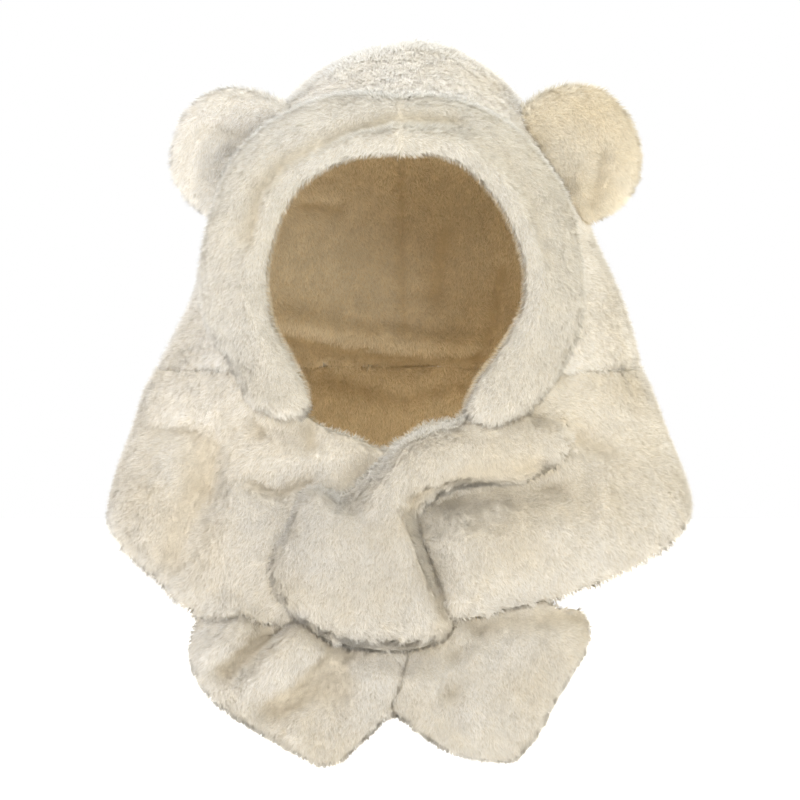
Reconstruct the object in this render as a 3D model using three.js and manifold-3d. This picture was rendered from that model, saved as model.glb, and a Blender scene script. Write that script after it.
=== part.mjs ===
// A plush hood with a padded brim and two ears, and a scarf strip sewn to its lower edge. The
// left end of the strip is drawn through a slot in the right end. Left and right are those of
// someone who looks at the face opening. Millimetres, +Z up, the face opening looks along -Y.
// The origin is where the crown of a head meets the inside of the hood.
import * as THREE from 'three';
import { ParametricGeometry } from 'three/addons/geometries/ParametricGeometry.js';
import { mergeVertices } from 'three/addons/utils/BufferGeometryUtils.js';
import Module from 'manifold-3d';

const wasm = await Module();
wasm.setup();

// Hood
const HOOD_WALL = 10;            // thickness of the hood's doubled plush
const HOOD_DROP = 246;           // from the origin down to the seam with the scarf
const HOOD_HALF_WIDTH = 165;     // across the hood at ear level, from the middle
const HOOD_FRONT = 130;          // how far the hood's round reaches forward
const HOOD_BACK = 120;           // how far it reaches back
const ROUNDNESS = 2.2;           // power of the rounded section, 2 is an ellipse
const CROWN_REACH = 0.6;         // share of the hood's height in which its wall turns over the crown
const CROWN_TILT = 1.45;         // how far it turns, in radians

// Seam between hood and scarf
const SEAM_HALF_WIDTH = 191;
const SEAM_FRONT = 126;
const SEAM_BACK = 120;

// Scarf
const SCARF_WALL = 13;           // thickness of the scarf strip
const SCARF_DROP = 190;          // from the seam down to the lowest hem
const SHOULDER_HALF_WIDTH = 228;
const SHOULDER_FRONT = 134;
const SHOULDER_BACK = 146;
const FOLD_DEPTH = 16;           // deepest fold or highest puff of the scarf
const FOLD_START = 0.2;          // share of the drop in which the folds begin
const BACK_FLUTE_DEPTH = 5;      // soft flutes of the drape behind
const BACK_FLUTES = 7;           // flutes in a full turn
const FRONT_CROWDING = 0.04;     // how much closer the scarf's turns lie in front, where its folds are

// Face opening
const FACE_WIDTH = 190;
const FACE_HEIGHT = 224;
const FACE_TOP = 81;             // from the origin down to its upper edge
const FACE_EDGE_INSET = 4;       // how far the brim's inner edge hides the hood's cut edge
const FACE_CUT_DEPTH = 30;       // the cut stops this far in front of the origin

// Brim
const BRIM_WIDTH = 50;
const BRIM_PUFF = 17;            // how far its padding stands forward
const BRIM_UNDERSIDE = 9;        // how far it reaches back under that
const BRIM_SETBACK = 38;         // how far the outer edge lies behind the inner one
const BRIM_LIFT = 7;             // how far the inner edge stands off the hood
const BRIM_VALLEY = 6;           // depth of the furrow along the brim
const BRIM_VALLEY_PLACE = 0.56;  // where the furrow runs, from the inner edge to the outer one
const BRIM_VALLEY_REACH = 0.12;  // half width of the furrow, as a share of the brim's width
const BRIM_ROUND_POWER = 0.8;    // 1 is an ellipse across the brim, less is fuller
const BRIM_END_POWER = 24;       // the higher, the blunter the brim's ends

// Ears
const EAR_RADIUS = 56;
const EAR_THICKNESS = 34;
const EAR_DISH = 9;              // how far the face of the ear is sunk inside its rolled rim
const EAR_RIM = 0.78;            // where the rolled rim is highest, from the middle to the edge
const EAR_EDGE_POWER = 4;        // the higher, the flatter the ear's faces and the tighter its edge
const EAR_SETBACK = 42;          // how far the ears stand in front of the origin
const EAR_DROP = 80;
const EAR_REACH_LEFT = 122;      // from the middle of the hood to the middle of an ear
const EAR_REACH_RIGHT = 133;

// Slot band and the two ends
const BAND_THICKNESS = 27;
const BAND_WIDTH = 140;
const BAND_LENGTH = 262;
const BAND_ROUND_POWER = 0.7;
const BAND_END_POWER = 16;
const END_THICKNESS = 24;
const END_LEFT_WIDTH = 162;
const END_LEFT_DROP = 131;
const END_RIGHT_WIDTH = 158;
const END_RIGHT_DROP = 130;
const END_TOP_PLACE = 0.90;      // where the ends start under the hem, as a share of the scarf's drop
const END_ROUND_POWER = 0.6;
const END_TIP_POWER = 12;
const END_PLEAT_DEPTH = 7;
const END_SINK = 6;              // how far the middle of an end lies behind the scarf's front

// Rounded edges of the walls
const EDGE_ROUND_REACH = 0.1;    // share of a wall's height that the rounding takes
const EDGE_ROUND_LEAST = 0.35;   // share of the wall left at its very edge

// Gaps and fineness
const CLEARANCE = 0.3;           // gap between neighbouring pieces
const MERGE_DISTANCE = 1e-4;
const CORNERS = 3;               // of a triangle, and numbers in a point
const HEIGHT_STEPS = 24;         // halvings in the search for a height
const OUTLINE_STEP = 0.01;       // share of the brim's length between two points that give its direction
const DEPTH_READ_MOST = 0.98;    // the front's depth is read no further out than this share of its width
const HOOD_FINENESS = { around: 40, outside: 14, inside: 10 };
const SCARF_FINENESS = { around: 62, outside: 12, inside: 8 };
const BRIM_FINENESS = { along: 52, around: 16 };
const EAR_FINENESS = { along: 11, around: 22 };
const BAND_FINENESS = { along: 24, around: 16 };
const END_FINENESS = { along: 16, around: 26 };

// Sections of the hood from the crown down, as shares of the drop and the three reaches. Lean
// moves a section sideways, as a share of the half width.
const HOOD_SECTIONS = [
  { down: -0.040, across: 0.00, front: 0.00, back: 0.00, lean: 0.06 },
  { down: -0.016, across: 0.21, front: 0.25, back: 0.28, lean: 0.05 },
  { down: 0.050, across: 0.40, front: 0.46, back: 0.55, lean: 0.03 },
  { down: 0.155, across: 0.57, front: 0.68, back: 0.79, lean: 0.01 },
  { down: 0.325, across: 0.73, front: 0.85, back: 0.95, lean: 0.00 },
  { down: 0.530, across: 0.88, front: 0.97, back: 1.00, lean: 0.01 },
  { down: 0.750, across: 1.00, front: 1.00, back: 0.98, lean: 0.03 },
];

// Sections of the scarf from the seam down, as shares of its drop and three reaches
const SCARF_SECTIONS = [
  { down: 0.23, across: 0.91, front: 0.96, back: 0.88 },
  { down: 0.52, across: 0.99, front: 0.99, back: 0.95 },
  { down: 0.78, across: 1.00, front: 1.00, back: 1.00 },
  { down: 1.00, across: 0.98, front: 1.01, back: 1.03 },
];

// Lowest edge of the scarf round the wearer, as shares of the drop, in equal turns from the
// middle of the back by the left shoulder, the front and the right shoulder
const HEM = [
  { place: 'back', down: 0.84 },
  { place: 'back left', down: 0.82 },
  { place: 'behind left shoulder', down: 0.77 },
  { place: 'left shoulder blade', down: 0.70 },
  { place: 'left shoulder', down: 0.65 },
  { place: 'left corner', down: 0.77 },
  { place: 'left wing', down: 0.98 },
  { place: 'under the band, left', down: 1.00 },
  { place: 'front', down: 1.00 },
  { place: 'under the lobe', down: 0.94 },
  { place: 'right wing', down: 0.84 },
  { place: 'right corner', down: 0.71 },
  { place: 'right shoulder', down: 0.61 },
  { place: 'right shoulder blade', down: 0.67 },
  { place: 'behind right shoulder', down: 0.76 },
  { place: 'back right', down: 0.82 },
];

// Folds and puffs on the front of the scarf: two ends of each, as shares of the shoulder half
// width and the drop, how far its effect reaches as a share of the drop, and its rise as a
// share of the fold depth. A fold that goes in has a rise below zero.
const FOLDS = [
  { name: 'left shoulder crease', x1: -0.83, z1: 0.23, x2: -0.71, z2: 0.25, reach: 0.06, rise: -0.5 },
  { name: 'left valley, upper', x1: -0.66, z1: 0.32, x2: -0.68, z2: 0.46, reach: 0.11, rise: -0.6 },
  { name: 'left valley, lower', x1: -0.68, z1: 0.46, x2: -0.78, z2: 0.75, reach: 0.12, rise: -0.7 },
  { name: 'left puff', x1: -0.58, z1: 0.52, x2: -0.55, z2: 0.68, reach: 0.15, rise: 0.8 },
  { name: 'crease over left puff', x1: -0.50, z1: 0.45, x2: -0.31, z2: 0.43, reach: 0.05, rise: -0.6 },
  { name: 'left neck puff', x1: -0.42, z1: 0.31, x2: -0.20, z2: 0.36, reach: 0.09, rise: 0.5 },
  { name: 'left hem roll', x1: -0.88, z1: 0.55, x2: -0.86, z2: 0.68, reach: 0.12, rise: 0.3 },
  { name: 'deep fold, inner', x1: 0.06, z1: 0.57, x2: 0.20, z2: 0.49, reach: 0.05, rise: -0.5 },
  { name: 'deep fold, outer', x1: 0.20, z1: 0.49, x2: 0.54, z2: 0.46, reach: 0.05, rise: -0.6 },
  { name: 'right lobe', x1: 0.22, z1: 0.74, x2: 0.57, z2: 0.69, reach: 0.17, rise: 0.9 },
  { name: 'top of the lobe', x1: 0.17, z1: 0.63, x2: 0.50, z2: 0.58, reach: 0.08, rise: 0.5 },
  { name: 'lobe beside the band', x1: 0.15, z1: 0.68, x2: 0.20, z2: 0.86, reach: 0.10, rise: 0.5 },
  { name: 'right ridge', x1: 0.68, z1: 0.37, x2: 0.67, z2: 0.58, reach: 0.06, rise: 0.4 },
  { name: 'right dent', x1: 0.64, z1: 0.27, x2: 0.66, z2: 0.31, reach: 0.09, rise: -0.4 },
  { name: 'right hem roll', x1: 0.88, z1: 0.49, x2: 0.83, z2: 0.63, reach: 0.12, rise: 0.3 },
];

// Inner edge of the brim from its lower left end over the brow to its lower right end: across
// as a share of half the face width, down as a share of the face height, width as a share of
// the brim width, setback as a share of the brim's setback, furrow as a share of its depth
const BRIM_STATIONS = [
  { place: 'lower left end', across: -0.68, down: 0.89, width: 0.72, setback: 0.05, furrow: 0.0 },
  { place: 'left jaw', across: -0.72, down: 0.80, width: 0.90, setback: 0.20, furrow: 0.0 },
  { place: 'left lower cheek', across: -0.83, down: 0.71, width: 0.98, setback: 0.50, furrow: 0.1 },
  { place: 'left cheek', across: -0.98, down: 0.58, width: 1.04, setback: 0.85, furrow: 0.3 },
  { place: 'left side', across: -1.05, down: 0.43, width: 1.11, setback: 1.00, furrow: 0.7 },
  { place: 'left temple', across: -0.98, down: 0.27, width: 1.13, setback: 1.00, furrow: 1.0 },
  { place: 'left corner', across: -0.82, down: 0.13, width: 1.17, setback: 1.00, furrow: 1.0 },
  { place: 'left brow', across: -0.60, down: 0.05, width: 1.12, setback: 1.00, furrow: 1.0 },
  { place: 'brow, left of middle', across: -0.29, down: 0.00, width: 0.98, setback: 1.00, furrow: 1.0 },
  { place: 'brow, right of middle', across: 0.05, down: 0.00, width: 0.96, setback: 1.00, furrow: 0.9 },
  { place: 'right brow', across: 0.37, down: 0.02, width: 1.00, setback: 1.00, furrow: 0.5 },
  { place: 'right corner', across: 0.66, down: 0.10, width: 1.02, setback: 1.00, furrow: 0.2 },
  { place: 'right temple', across: 0.85, down: 0.22, width: 1.04, setback: 1.00, furrow: 0.1 },
  { place: 'right side', across: 0.96, down: 0.37, width: 1.00, setback: 1.00, furrow: 0.1 },
  { place: 'right cheek', across: 0.93, down: 0.52, width: 1.02, setback: 0.80, furrow: 0.2 },
  { place: 'right lower cheek', across: 0.78, down: 0.66, width: 1.04, setback: 0.40, furrow: 0.2 },
  { place: 'right jaw', across: 0.60, down: 0.77, width: 0.92, setback: 0.10, furrow: 0.1 },
  { place: 'lower right end', across: 0.43, down: 0.88, width: 0.62, setback: 0.00, furrow: 0.0 },
];

// Lower side of the face opening between the brim's ends, in the same shares
const FACE_FLOOR = [
  { place: 'right, by the brim', across: 0.40, down: 0.90 },
  { place: 'top of the band', across: 0.24, down: 0.90 },
  { place: 'left end of the band', across: 0.08, down: 0.94 },
  { place: 'middle of the neck', across: -0.13, down: 1.00 },
  { place: 'ruffle of the left wing', across: -0.42, down: 0.95 },
  { place: 'left, by the brim', across: -0.63, down: 0.91 },
];

// Outline of an ear in equal turns, as shares of its radius, from the outer side by the top
const EAR_OUTLINE = [1.0, 1.01, 1.02, 1.0, 1.0, 1.0, 0.98, 0.98, 0.98, 0.98, 0.97, 0.98];

// The slot band from the right shoulder to its lower left end: the upper and lower edge of each
// section, as shares of the band's length and width from its V-shaped notch, and its thickness
const BAND_SECTIONS = [
  { place: 'right shoulder', topX: 0.70, topZ: -0.46, lowX: 0.68, lowZ: -0.12, thick: 0.22 },
  { place: 'under the brim', topX: 0.50, topZ: -0.42, lowX: 0.52, lowZ: -0.04, thick: 0.60 },
  { place: 'neck, right', topX: 0.33, topZ: -0.41, lowX: 0.35, lowZ: -0.01, thick: 0.90 },
  { place: 'neck, middle', topX: 0.20, topZ: -0.34, lowX: 0.22, lowZ: 0.13, thick: 1.00 },
  { place: 'over the crossing', topX: 0.09, topZ: -0.16, lowX: 0.27, lowZ: 0.42, thick: 1.05 },
  { place: 'notch', topX: 0.00, topZ: 0.00, lowX: 0.32, lowZ: 0.74, thick: 1.05 },
  { place: 'middle of the pad', topX: -0.11, topZ: -0.06, lowX: 0.17, lowZ: 0.87, thick: 1.00 },
  { place: 'left of the pad', topX: -0.18, topZ: 0.19, lowX: -0.03, lowZ: 0.79, thick: 0.90 },
  { place: 'lower left end', topX: -0.26, topZ: 0.46, lowX: -0.17, lowZ: 0.65, thick: 0.65 },
];
const BAND_NOTCH = { across: -0.19, down: 0.48 };   // shares of the shoulder and the drop

// The two ends from top to bottom: left and right edge as shares of the end's width from the
// middle of the neck, down as a share of its drop, thick as a share of its thickness
const END_LEFT_SECTIONS = [
  { down: 0.00, left: -0.92, right: -0.20, thick: 0.60 },
  { down: 0.12, left: -0.97, right: 0.06, thick: 0.80 },
  { down: 0.28, left: -1.01, right: 0.08, thick: 0.95 },
  { down: 0.44, left: -0.99, right: 0.06, thick: 1.00 },
  { down: 0.64, left: -0.87, right: 0.00, thick: 1.00 },
  { down: 0.80, left: -0.70, right: -0.11, thick: 0.95 },
  { down: 0.93, left: -0.52, right: -0.22, thick: 0.80 },
  { down: 1.00, left: -0.40, right: -0.28, thick: 0.50 },
];
const END_RIGHT_SECTIONS = [
  { down: 0.00, left: 0.12, right: 0.92, thick: 0.60 },
  { down: 0.18, left: 0.04, right: 0.94, thick: 0.85 },
  { down: 0.32, left: 0.02, right: 0.92, thick: 0.95 },
  { down: 0.49, left: -0.02, right: 0.84, thick: 1.00 },
  { down: 0.65, left: -0.05, right: 0.75, thick: 1.00 },
  { down: 0.78, left: 0.06, right: 0.69, thick: 0.95 },
  { down: 0.92, left: 0.22, right: 0.61, thick: 0.85 },
  { down: 1.00, left: 0.42, right: 0.54, thick: 0.50 },
];

// Pleats of an end: where each runs across the end at its top and at its foot, from its left
// edge to its right one, and how far it goes in
const END_LEFT_PLEATS = [
  { top: 0.42, foot: 0.12, reach: 0.07, depth: 1.0 },
  { top: 0.70, foot: 0.55, reach: 0.08, depth: 0.9 },
  { top: 0.86, foot: 0.84, reach: 0.06, depth: 0.5 },
];
const END_RIGHT_PLEATS = [
  { top: 0.30, foot: 0.38, reach: 0.09, depth: 0.8 },
  { top: 0.80, foot: 0.72, reach: 0.08, depth: 0.4 },
];

const COLOURS = { cream: '#e9e1d0', brim: '#efe8d9', ear: '#e8dcc0', scarf: '#e6dccb' };
const PLUSH = { roughness: 0.95, metalness: 0 };

// The angle of a share of a full turn, where the last point is the first one again
function fullTurn(share) {
  return share === 1 ? 0 : share * Math.PI * 2;
}

// Tables as smooth curves

// Reads one column of a table at a share of the way from its first row to its last
function readTable(rows, column, share) {
  const points = rows.map((row, index) => new THREE.Vector2(index, row[column]));
  return new THREE.SplineCurve(points).getPoint(THREE.MathUtils.clamp(share, 0, 1)).y;
}

// Reads the hem all the way round, where the last row meets the first
function hemShare(turn) {
  const around = [...HEM.slice(-2), ...HEM, ...HEM.slice(0, 3)];
  const row = 2 + THREE.MathUtils.euclideanModulo(turn, 1) * HEM.length;
  return readTable(around, 'down', row / (around.length - 1));
}

// Rounds a wall's edges: 1 along the wall, falling to the least share at its edge
function edgeRound(distance) {
  const near = Math.min(distance / EDGE_ROUND_REACH, 1);
  return EDGE_ROUND_LEAST + (1 - EDGE_ROUND_LEAST) * Math.sqrt(1 - (1 - near) ** 2);
}

const lowerRound = (down) => edgeRound(1 - down);
const upperRound = (down) => edgeRound(down);

// Body of the hood and the scarf

// Sections of both from the crown to the lowest hem, in millimetres
const BODY_SECTIONS = [
  ...HOOD_SECTIONS.map((row) => ({
    z: -row.down * HOOD_DROP,
    half: row.across * HOOD_HALF_WIDTH,
    front: row.front * HOOD_FRONT,
    back: row.back * HOOD_BACK,
    lean: row.lean * HOOD_HALF_WIDTH,
  })),
  { z: -HOOD_DROP, half: SEAM_HALF_WIDTH, front: SEAM_FRONT, back: SEAM_BACK, lean: 0 },
  ...SCARF_SECTIONS.map((row) => ({
    z: -HOOD_DROP - row.down * SCARF_DROP,
    half: row.across * SHOULDER_HALF_WIDTH,
    front: row.front * SHOULDER_FRONT,
    back: row.back * SHOULDER_BACK,
    lean: 0,
  })),
];
BODY_SECTIONS[0].z = HOOD_WALL;
const SEAM_SHARE = HOOD_SECTIONS.length / (BODY_SECTIONS.length - 1);

// The share of the way down the sections at which they reach a height
function shareAtHeight(z) {
  let low = 0;
  let high = 1;
  for (let step = 0; step < HEIGHT_STEPS; step += 1) {
    const middle = (low + high) / 2;
    if (readTable(BODY_SECTIONS, 'z', middle) > z) {
      low = middle;
    } else {
      high = middle;
    }
  }
  return (low + high) / 2;
}

// The section at one height, larger all round by what grows
function sectionAt(share, grow) {
  const read = (column) => readTable(BODY_SECTIONS, column, share);
  return {
    z: read('z'),
    half: Math.max(read('half') + grow, 0),
    front: Math.max(read('front') + grow, 0),
    back: Math.max(read('back') + grow, 0),
    lean: read('lean'),
  };
}

// A point of a rounded section. Turn 0 and 1 are the middle of the back, 0.5 the front.
function sectionPoint(section, turn) {
  const angle = fullTurn(turn);
  const power = 2 / ROUNDNESS;
  const sine = Math.sin(angle);
  const cosine = Math.cos(angle);
  const depth = cosine > 0 ? section.back : section.front;
  return new THREE.Vector3(
    section.lean - Math.sign(sine) * Math.abs(sine) ** power * section.half,
    Math.sign(cosine) * Math.abs(cosine) ** power * depth,
    section.z,
  );
}

// How far the body reaches forward at a place seen from the front
function frontDepth(x, z) {
  const lowest = -HOOD_DROP - SCARF_DROP;
  const section = sectionAt(shareAtHeight(Math.max(z, lowest)), 0);
  const across = Math.min(Math.abs(x - section.lean) / section.half, DEPTH_READ_MOST);
  return -section.front * (1 - across ** ROUNDNESS) ** (1 / ROUNDNESS);
}

// Rise of the scarf's folds at a place seen from the front
function foldRise(x, z) {
  const place = new THREE.Vector3(x / SHOULDER_HALF_WIDTH, 0, (-HOOD_DROP - z) / SCARF_DROP);
  const ratio = SHOULDER_HALF_WIDTH / SCARF_DROP;
  place.x *= ratio;
  let rise = 0;
  for (const fold of FOLDS) {
    const line = new THREE.Line3(
      new THREE.Vector3(fold.x1 * ratio, 0, fold.z1),
      new THREE.Vector3(fold.x2 * ratio, 0, fold.z2),
    );
    const nearest = line.closestPointToPoint(place, true, new THREE.Vector3());
    rise += fold.rise * FOLD_DEPTH * Math.exp(-((nearest.distanceTo(place) / fold.reach) ** 2));
  }
  return rise;
}

// Soft flutes of the drape at the back, deeper towards the hem
function fluteRise(turn, down) {
  const backness = Math.max(Math.cos(turn * Math.PI * 2), 0);
  return BACK_FLUTE_DEPTH * down * backness * Math.cos(BACK_FLUTES * turn * Math.PI * 2);
}

// A point on the scarf, down from the seam to the hem, pushed out by its folds and by what grows
function scarfPoint(turn, down, grow) {
  const z = -HOOD_DROP - down * hemShare(turn) * SCARF_DROP;
  const share = shareAtHeight(z);
  const point = sectionPoint(sectionAt(share, grow), turn);
  const fade = THREE.MathUtils.smoothstep(-point.y, 0, SHOULDER_FRONT / 2);
  const push = fade * foldRise(point.x, point.z) + fluteRise(turn, down);
  const outward = new THREE.Vector3(point.x, point.y, 0).normalize();
  return point.addScaledVector(outward, push * THREE.MathUtils.smoothstep(down, 0, FOLD_START));
}

// A point on the hood, down from the crown to the seam
function hoodPoint(turn, down, grow) {
  const section = sectionAt(down * SEAM_SHARE, 0);
  const point = sectionPoint(section, turn);
  const crownness = 1 - THREE.MathUtils.smoothstep(down, 0, CROWN_REACH);
  const outward = new THREE.Vector3(point.x, point.y, 0);
  if (outward.lengthSq() > 0) {
    outward.normalize();
  }
  outward.z = Math.tan(crownness * crownness * CROWN_TILT);
  return point.addScaledVector(outward.normalize(), grow);
}

// Solids

// Lays a closed surface over a function of two shares and makes it a solid
function loft(pointAt, along, around) {
  const surface = new ParametricGeometry(
    (u, v, target) => target.copy(pointAt(u, v)),
    along,
    around,
  );
  return toSolid(surface);
}

// Turns a closed surface into a solid, faces out
function toSolid(surface) {
  const bare = new THREE.BufferGeometry();
  bare.setAttribute('position', surface.getAttribute('position'));
  bare.setIndex(surface.getIndex());
  const merged = mergeVertices(bare, MERGE_DISTANCE);
  const index = merged.getIndex().array;
  const kept = [];
  for (let corner = 0; corner < index.length; corner += CORNERS) {
    const [a, b, c] = index.slice(corner, corner + CORNERS);
    if (a !== b && b !== c && c !== a) {
      kept.push(a, b, c);
    }
  }
  const make = (triangles) => new wasm.Manifold(new wasm.Mesh({
    numProp: CORNERS,
    vertProperties: new Float32Array(merged.getAttribute('position').array),
    triVerts: new Uint32Array(triangles),
  }));
  const solid = make(kept);
  return solid.volume() < 0 ? make(kept.reverse()) : solid;
}

// Gives a solid back as a named mesh
function toMesh(name, solid, colour) {
  const mesh = solid.getMesh();
  const geometry = new THREE.BufferGeometry();
  geometry.setAttribute('position', new THREE.BufferAttribute(mesh.vertProperties, CORNERS));
  geometry.setIndex(new THREE.BufferAttribute(mesh.triVerts, 1));
  geometry.computeVertexNormals();
  const piece = new THREE.Mesh(geometry, new THREE.MeshStandardMaterial({ color: colour, ...PLUSH }));
  piece.name = name;
  return piece;
}

// Walks round a wall's cut: down the outside, over the lower edge, up the inside
function wallRow(walk, steps, fineness) {
  const row = Math.round(walk * steps);
  if (row <= fineness.outside) {
    return { outside: true, down: row / fineness.outside };
  }
  return { outside: false, down: (fineness.outside + 1 + fineness.inside - row) / fineness.inside };
}

// Face opening, cut forward out of the hood and the scarf. The cut is larger than the brim's
// inner edge by what it is told, so that the brim hides the cut edge.
function brimInner(share) {
  return new THREE.Vector2(
    readTable(BRIM_STATIONS, 'across', share) * FACE_WIDTH / 2,
    -FACE_TOP - readTable(BRIM_STATIONS, 'down', share) * FACE_HEIGHT,
  );
}

// The direction from the inner edge of the brim to its outer one, seen from the front
function brimOutward(share) {
  const ahead = brimInner(Math.min(share + OUTLINE_STEP, 1));
  const along = ahead.sub(brimInner(Math.max(share - OUTLINE_STEP, 0)));
  return new THREE.Vector2(-along.y, along.x).normalize();
}

function faceCut() {
  const outline = [];
  for (let step = 0; step <= BRIM_FINENESS.along; step += 1) {
    const share = step / BRIM_FINENESS.along;
    outline.push(brimInner(share).addScaledVector(brimOutward(share), FACE_EDGE_INSET));
  }
  for (const row of FACE_FLOOR) {
    outline.push(new THREE.Vector2(row.across * FACE_WIDTH / 2, -FACE_TOP - row.down * FACE_HEIGHT));
  }
  const reach = HOOD_FRONT + SHOULDER_FRONT;
  const cut = new THREE.ExtrudeGeometry(new THREE.Shape(outline), { depth: reach, bevelEnabled: false });
  cut.rotateX(Math.PI / 2);
  cut.translate(0, -FACE_CUT_DEPTH, 0);
  return toSolid(cut);
}

// The hood's wall, closed over the crown and open at the face and below
function hoodShell() {
  const steps = HOOD_FINENESS.outside + 1 + HOOD_FINENESS.inside;
  const wall = loft((walk, turn) => {
    const { outside, down } = wallRow(walk, steps, HOOD_FINENESS);
    const squeeze = (1 - lowerRound(down)) * HOOD_WALL / 2;
    return hoodPoint(turn, down, outside ? -squeeze : squeeze - HOOD_WALL);
  }, steps, HOOD_FINENESS.around);
  return wall.subtract(faceCut());
}

// Spaces the turns of the scarf closer together in front, where its folds are
function scarfTurn(share) {
  const turn = share === 1 ? 0 : share;
  return turn + FRONT_CROWDING * Math.sin(turn * Math.PI * 2);
}

// Starts the scarf a clearance below the hood
function belowSeam(down) {
  return down + (1 - down) * CLEARANCE / SCARF_DROP;
}

// The scarf's wall round the neck and the shoulders, open above and below
function scarfWall() {
  const steps = SCARF_FINENESS.outside + SCARF_FINENESS.inside + 2;
  const wall = loft((turn, walk) => {
    const { outside, down } = wallRow(walk === 1 ? 0 : walk, steps, SCARF_FINENESS);
    const squeeze = (1 - Math.min(upperRound(down), lowerRound(down))) * SCARF_WALL / 2;
    return scarfPoint(scarfTurn(turn), belowSeam(down), outside ? -squeeze : squeeze - SCARF_WALL);
  }, SCARF_FINENESS.around, steps);
  return wall.subtract(faceCut());
}

// Everything inside the outer faces of the hood and the scarf, to keep what lies on them clear
function bodyFill() {
  const hood = loft((walk, turn) => {
    const row = Math.round(walk * (HOOD_FINENESS.outside + 1));
    if (row > HOOD_FINENESS.outside) {
      return new THREE.Vector3(0, 0, -HOOD_DROP);
    }
    return hoodPoint(turn, row / HOOD_FINENESS.outside, CLEARANCE);
  }, HOOD_FINENESS.outside + 1, HOOD_FINENESS.around);
  const scarf = loft((walk, turn) => {
    const row = Math.round(walk * (SCARF_FINENESS.outside + 3));
    if (row === 0) {
      return new THREE.Vector3(0, 0, -HOOD_DROP);
    }
    const down = Math.min((row - 1) / SCARF_FINENESS.outside, 1);
    if (row <= SCARF_FINENESS.outside) {
      return scarfPoint(scarfTurn(turn), belowSeam(down), CLEARANCE);
    }
    const under = [CLEARANCE, -SCARF_WALL - CLEARANCE][row - SCARF_FINENESS.outside - 1];
    if (under === undefined) {
      return new THREE.Vector3(0, 0, -HOOD_DROP - SCARF_DROP / 2);
    }
    const hem = scarfPoint(scarfTurn(turn), 1, under);
    hem.z -= CLEARANCE;
    return hem;
  }, SCARF_FINENESS.outside + 3, SCARF_FINENESS.around);
  return hood.add(scarf);
}

// The padded brim, larger all round by what grows
function brimRoll(grow) {
  return loft((along, turn) => {
    const angle = fullTurn(turn);
    const inner = brimInner(along);
    const outward = brimOutward(along);
    const width = readTable(BRIM_STATIONS, 'width', along) * BRIM_WIDTH;
    const setback = readTable(BRIM_STATIONS, 'setback', along) * BRIM_SETBACK;
    const taper = Math.sqrt(1 - Math.abs(2 * along - 1) ** BRIM_END_POWER);
    const place = 0.5 - Math.cos(angle) / 2;
    const middle = 0.5 + (place - 0.5) * taper;
    const valley = Math.exp(-(((middle - BRIM_VALLEY_PLACE) / BRIM_VALLEY_REACH) ** 2));
    const thick = Math.sin(angle) > 0 ? BRIM_PUFF : BRIM_UNDERSIDE;
    const deep = readTable(BRIM_STATIONS, 'furrow', along) * BRIM_VALLEY;
    const furrow = Math.sin(angle) > 0 ? deep * valley * taper : 0;
    const across = middle * width - Math.cos(angle) * grow;
    const seen = inner.clone().addScaledVector(outward, across);
    const foot = frontDepth(inner.x, inner.y) - BRIM_LIFT + setback * middle;
    const rise = Math.sign(Math.sin(angle)) * Math.abs(Math.sin(angle)) ** BRIM_ROUND_POWER;
    const stand = rise * (thick + grow) * taper;
    return new THREE.Vector3(seen.x, foot - stand + furrow, seen.y);
  }, BRIM_FINENESS.along, BRIM_FINENESS.around);
}

// An ear: a padded disc with a rolled rim round a dished face. Side is -1 left, 1 right.
function earPad(side, reach) {
  return loft((walk, turn) => {
    const angle = fullTurn(turn);
    const facing = walk < 0.5 ? 1 : -1;
    const out = Math.sin(walk * Math.PI);
    const outline = [...EAR_OUTLINE, EAR_OUTLINE[0]].map((radius) => ({ radius }));
    const radius = readTable(outline, 'radius', turn) * EAR_RADIUS * out;
    const dish = facing > 0 ? EAR_DISH * Math.max(1 - (out / EAR_RIM) ** 2, 0) : 0;
    const body = Math.sqrt(Math.max(1 - out ** EAR_EDGE_POWER, 0)) * EAR_THICKNESS / 2;
    return new THREE.Vector3(
      side * (reach + Math.cos(angle) * radius),
      -EAR_SETBACK - facing * body + dish,
      -EAR_DROP + Math.sin(angle) * radius,
    );
  }, 2 * EAR_FINENESS.along, EAR_FINENESS.around);
}

// The slot band, a padded strip that lies over the front of the scarf
function bandPad(grow) {
  const notchX = BAND_NOTCH.across * SHOULDER_HALF_WIDTH;
  const notchZ = -HOOD_DROP - BAND_NOTCH.down * SCARF_DROP;
  return loft((along, turn) => {
    const angle = fullTurn(turn);
    const read = (column) => readTable(BAND_SECTIONS, column, along);
    const taper = Math.sqrt(1 - Math.abs(2 * along - 1) ** BAND_END_POWER);
    const top = new THREE.Vector2(read('topX') * BAND_LENGTH, -read('topZ') * BAND_WIDTH);
    const low = new THREE.Vector2(read('lowX') * BAND_LENGTH, -read('lowZ') * BAND_WIDTH);
    const middle = 0.5 - Math.cos(angle) / 2 * taper;
    const seen = top.clone().lerp(low, middle);
    const edge = low.clone().sub(top).normalize().multiplyScalar(-Math.cos(angle) * grow);
    const x = notchX + seen.x + edge.x;
    const z = notchZ + seen.y + edge.y;
    const sine = Math.sin(angle);
    const stand = Math.sign(sine) * Math.abs(sine) ** BAND_ROUND_POWER * taper;
    const reach = sine > 0 ? read('thick') * BAND_THICKNESS + grow : SCARF_WALL / 2;
    return new THREE.Vector3(x, frontDepth(x, z) - stand * reach, z);
  }, BAND_FINENESS.along, BAND_FINENESS.around);
}

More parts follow.
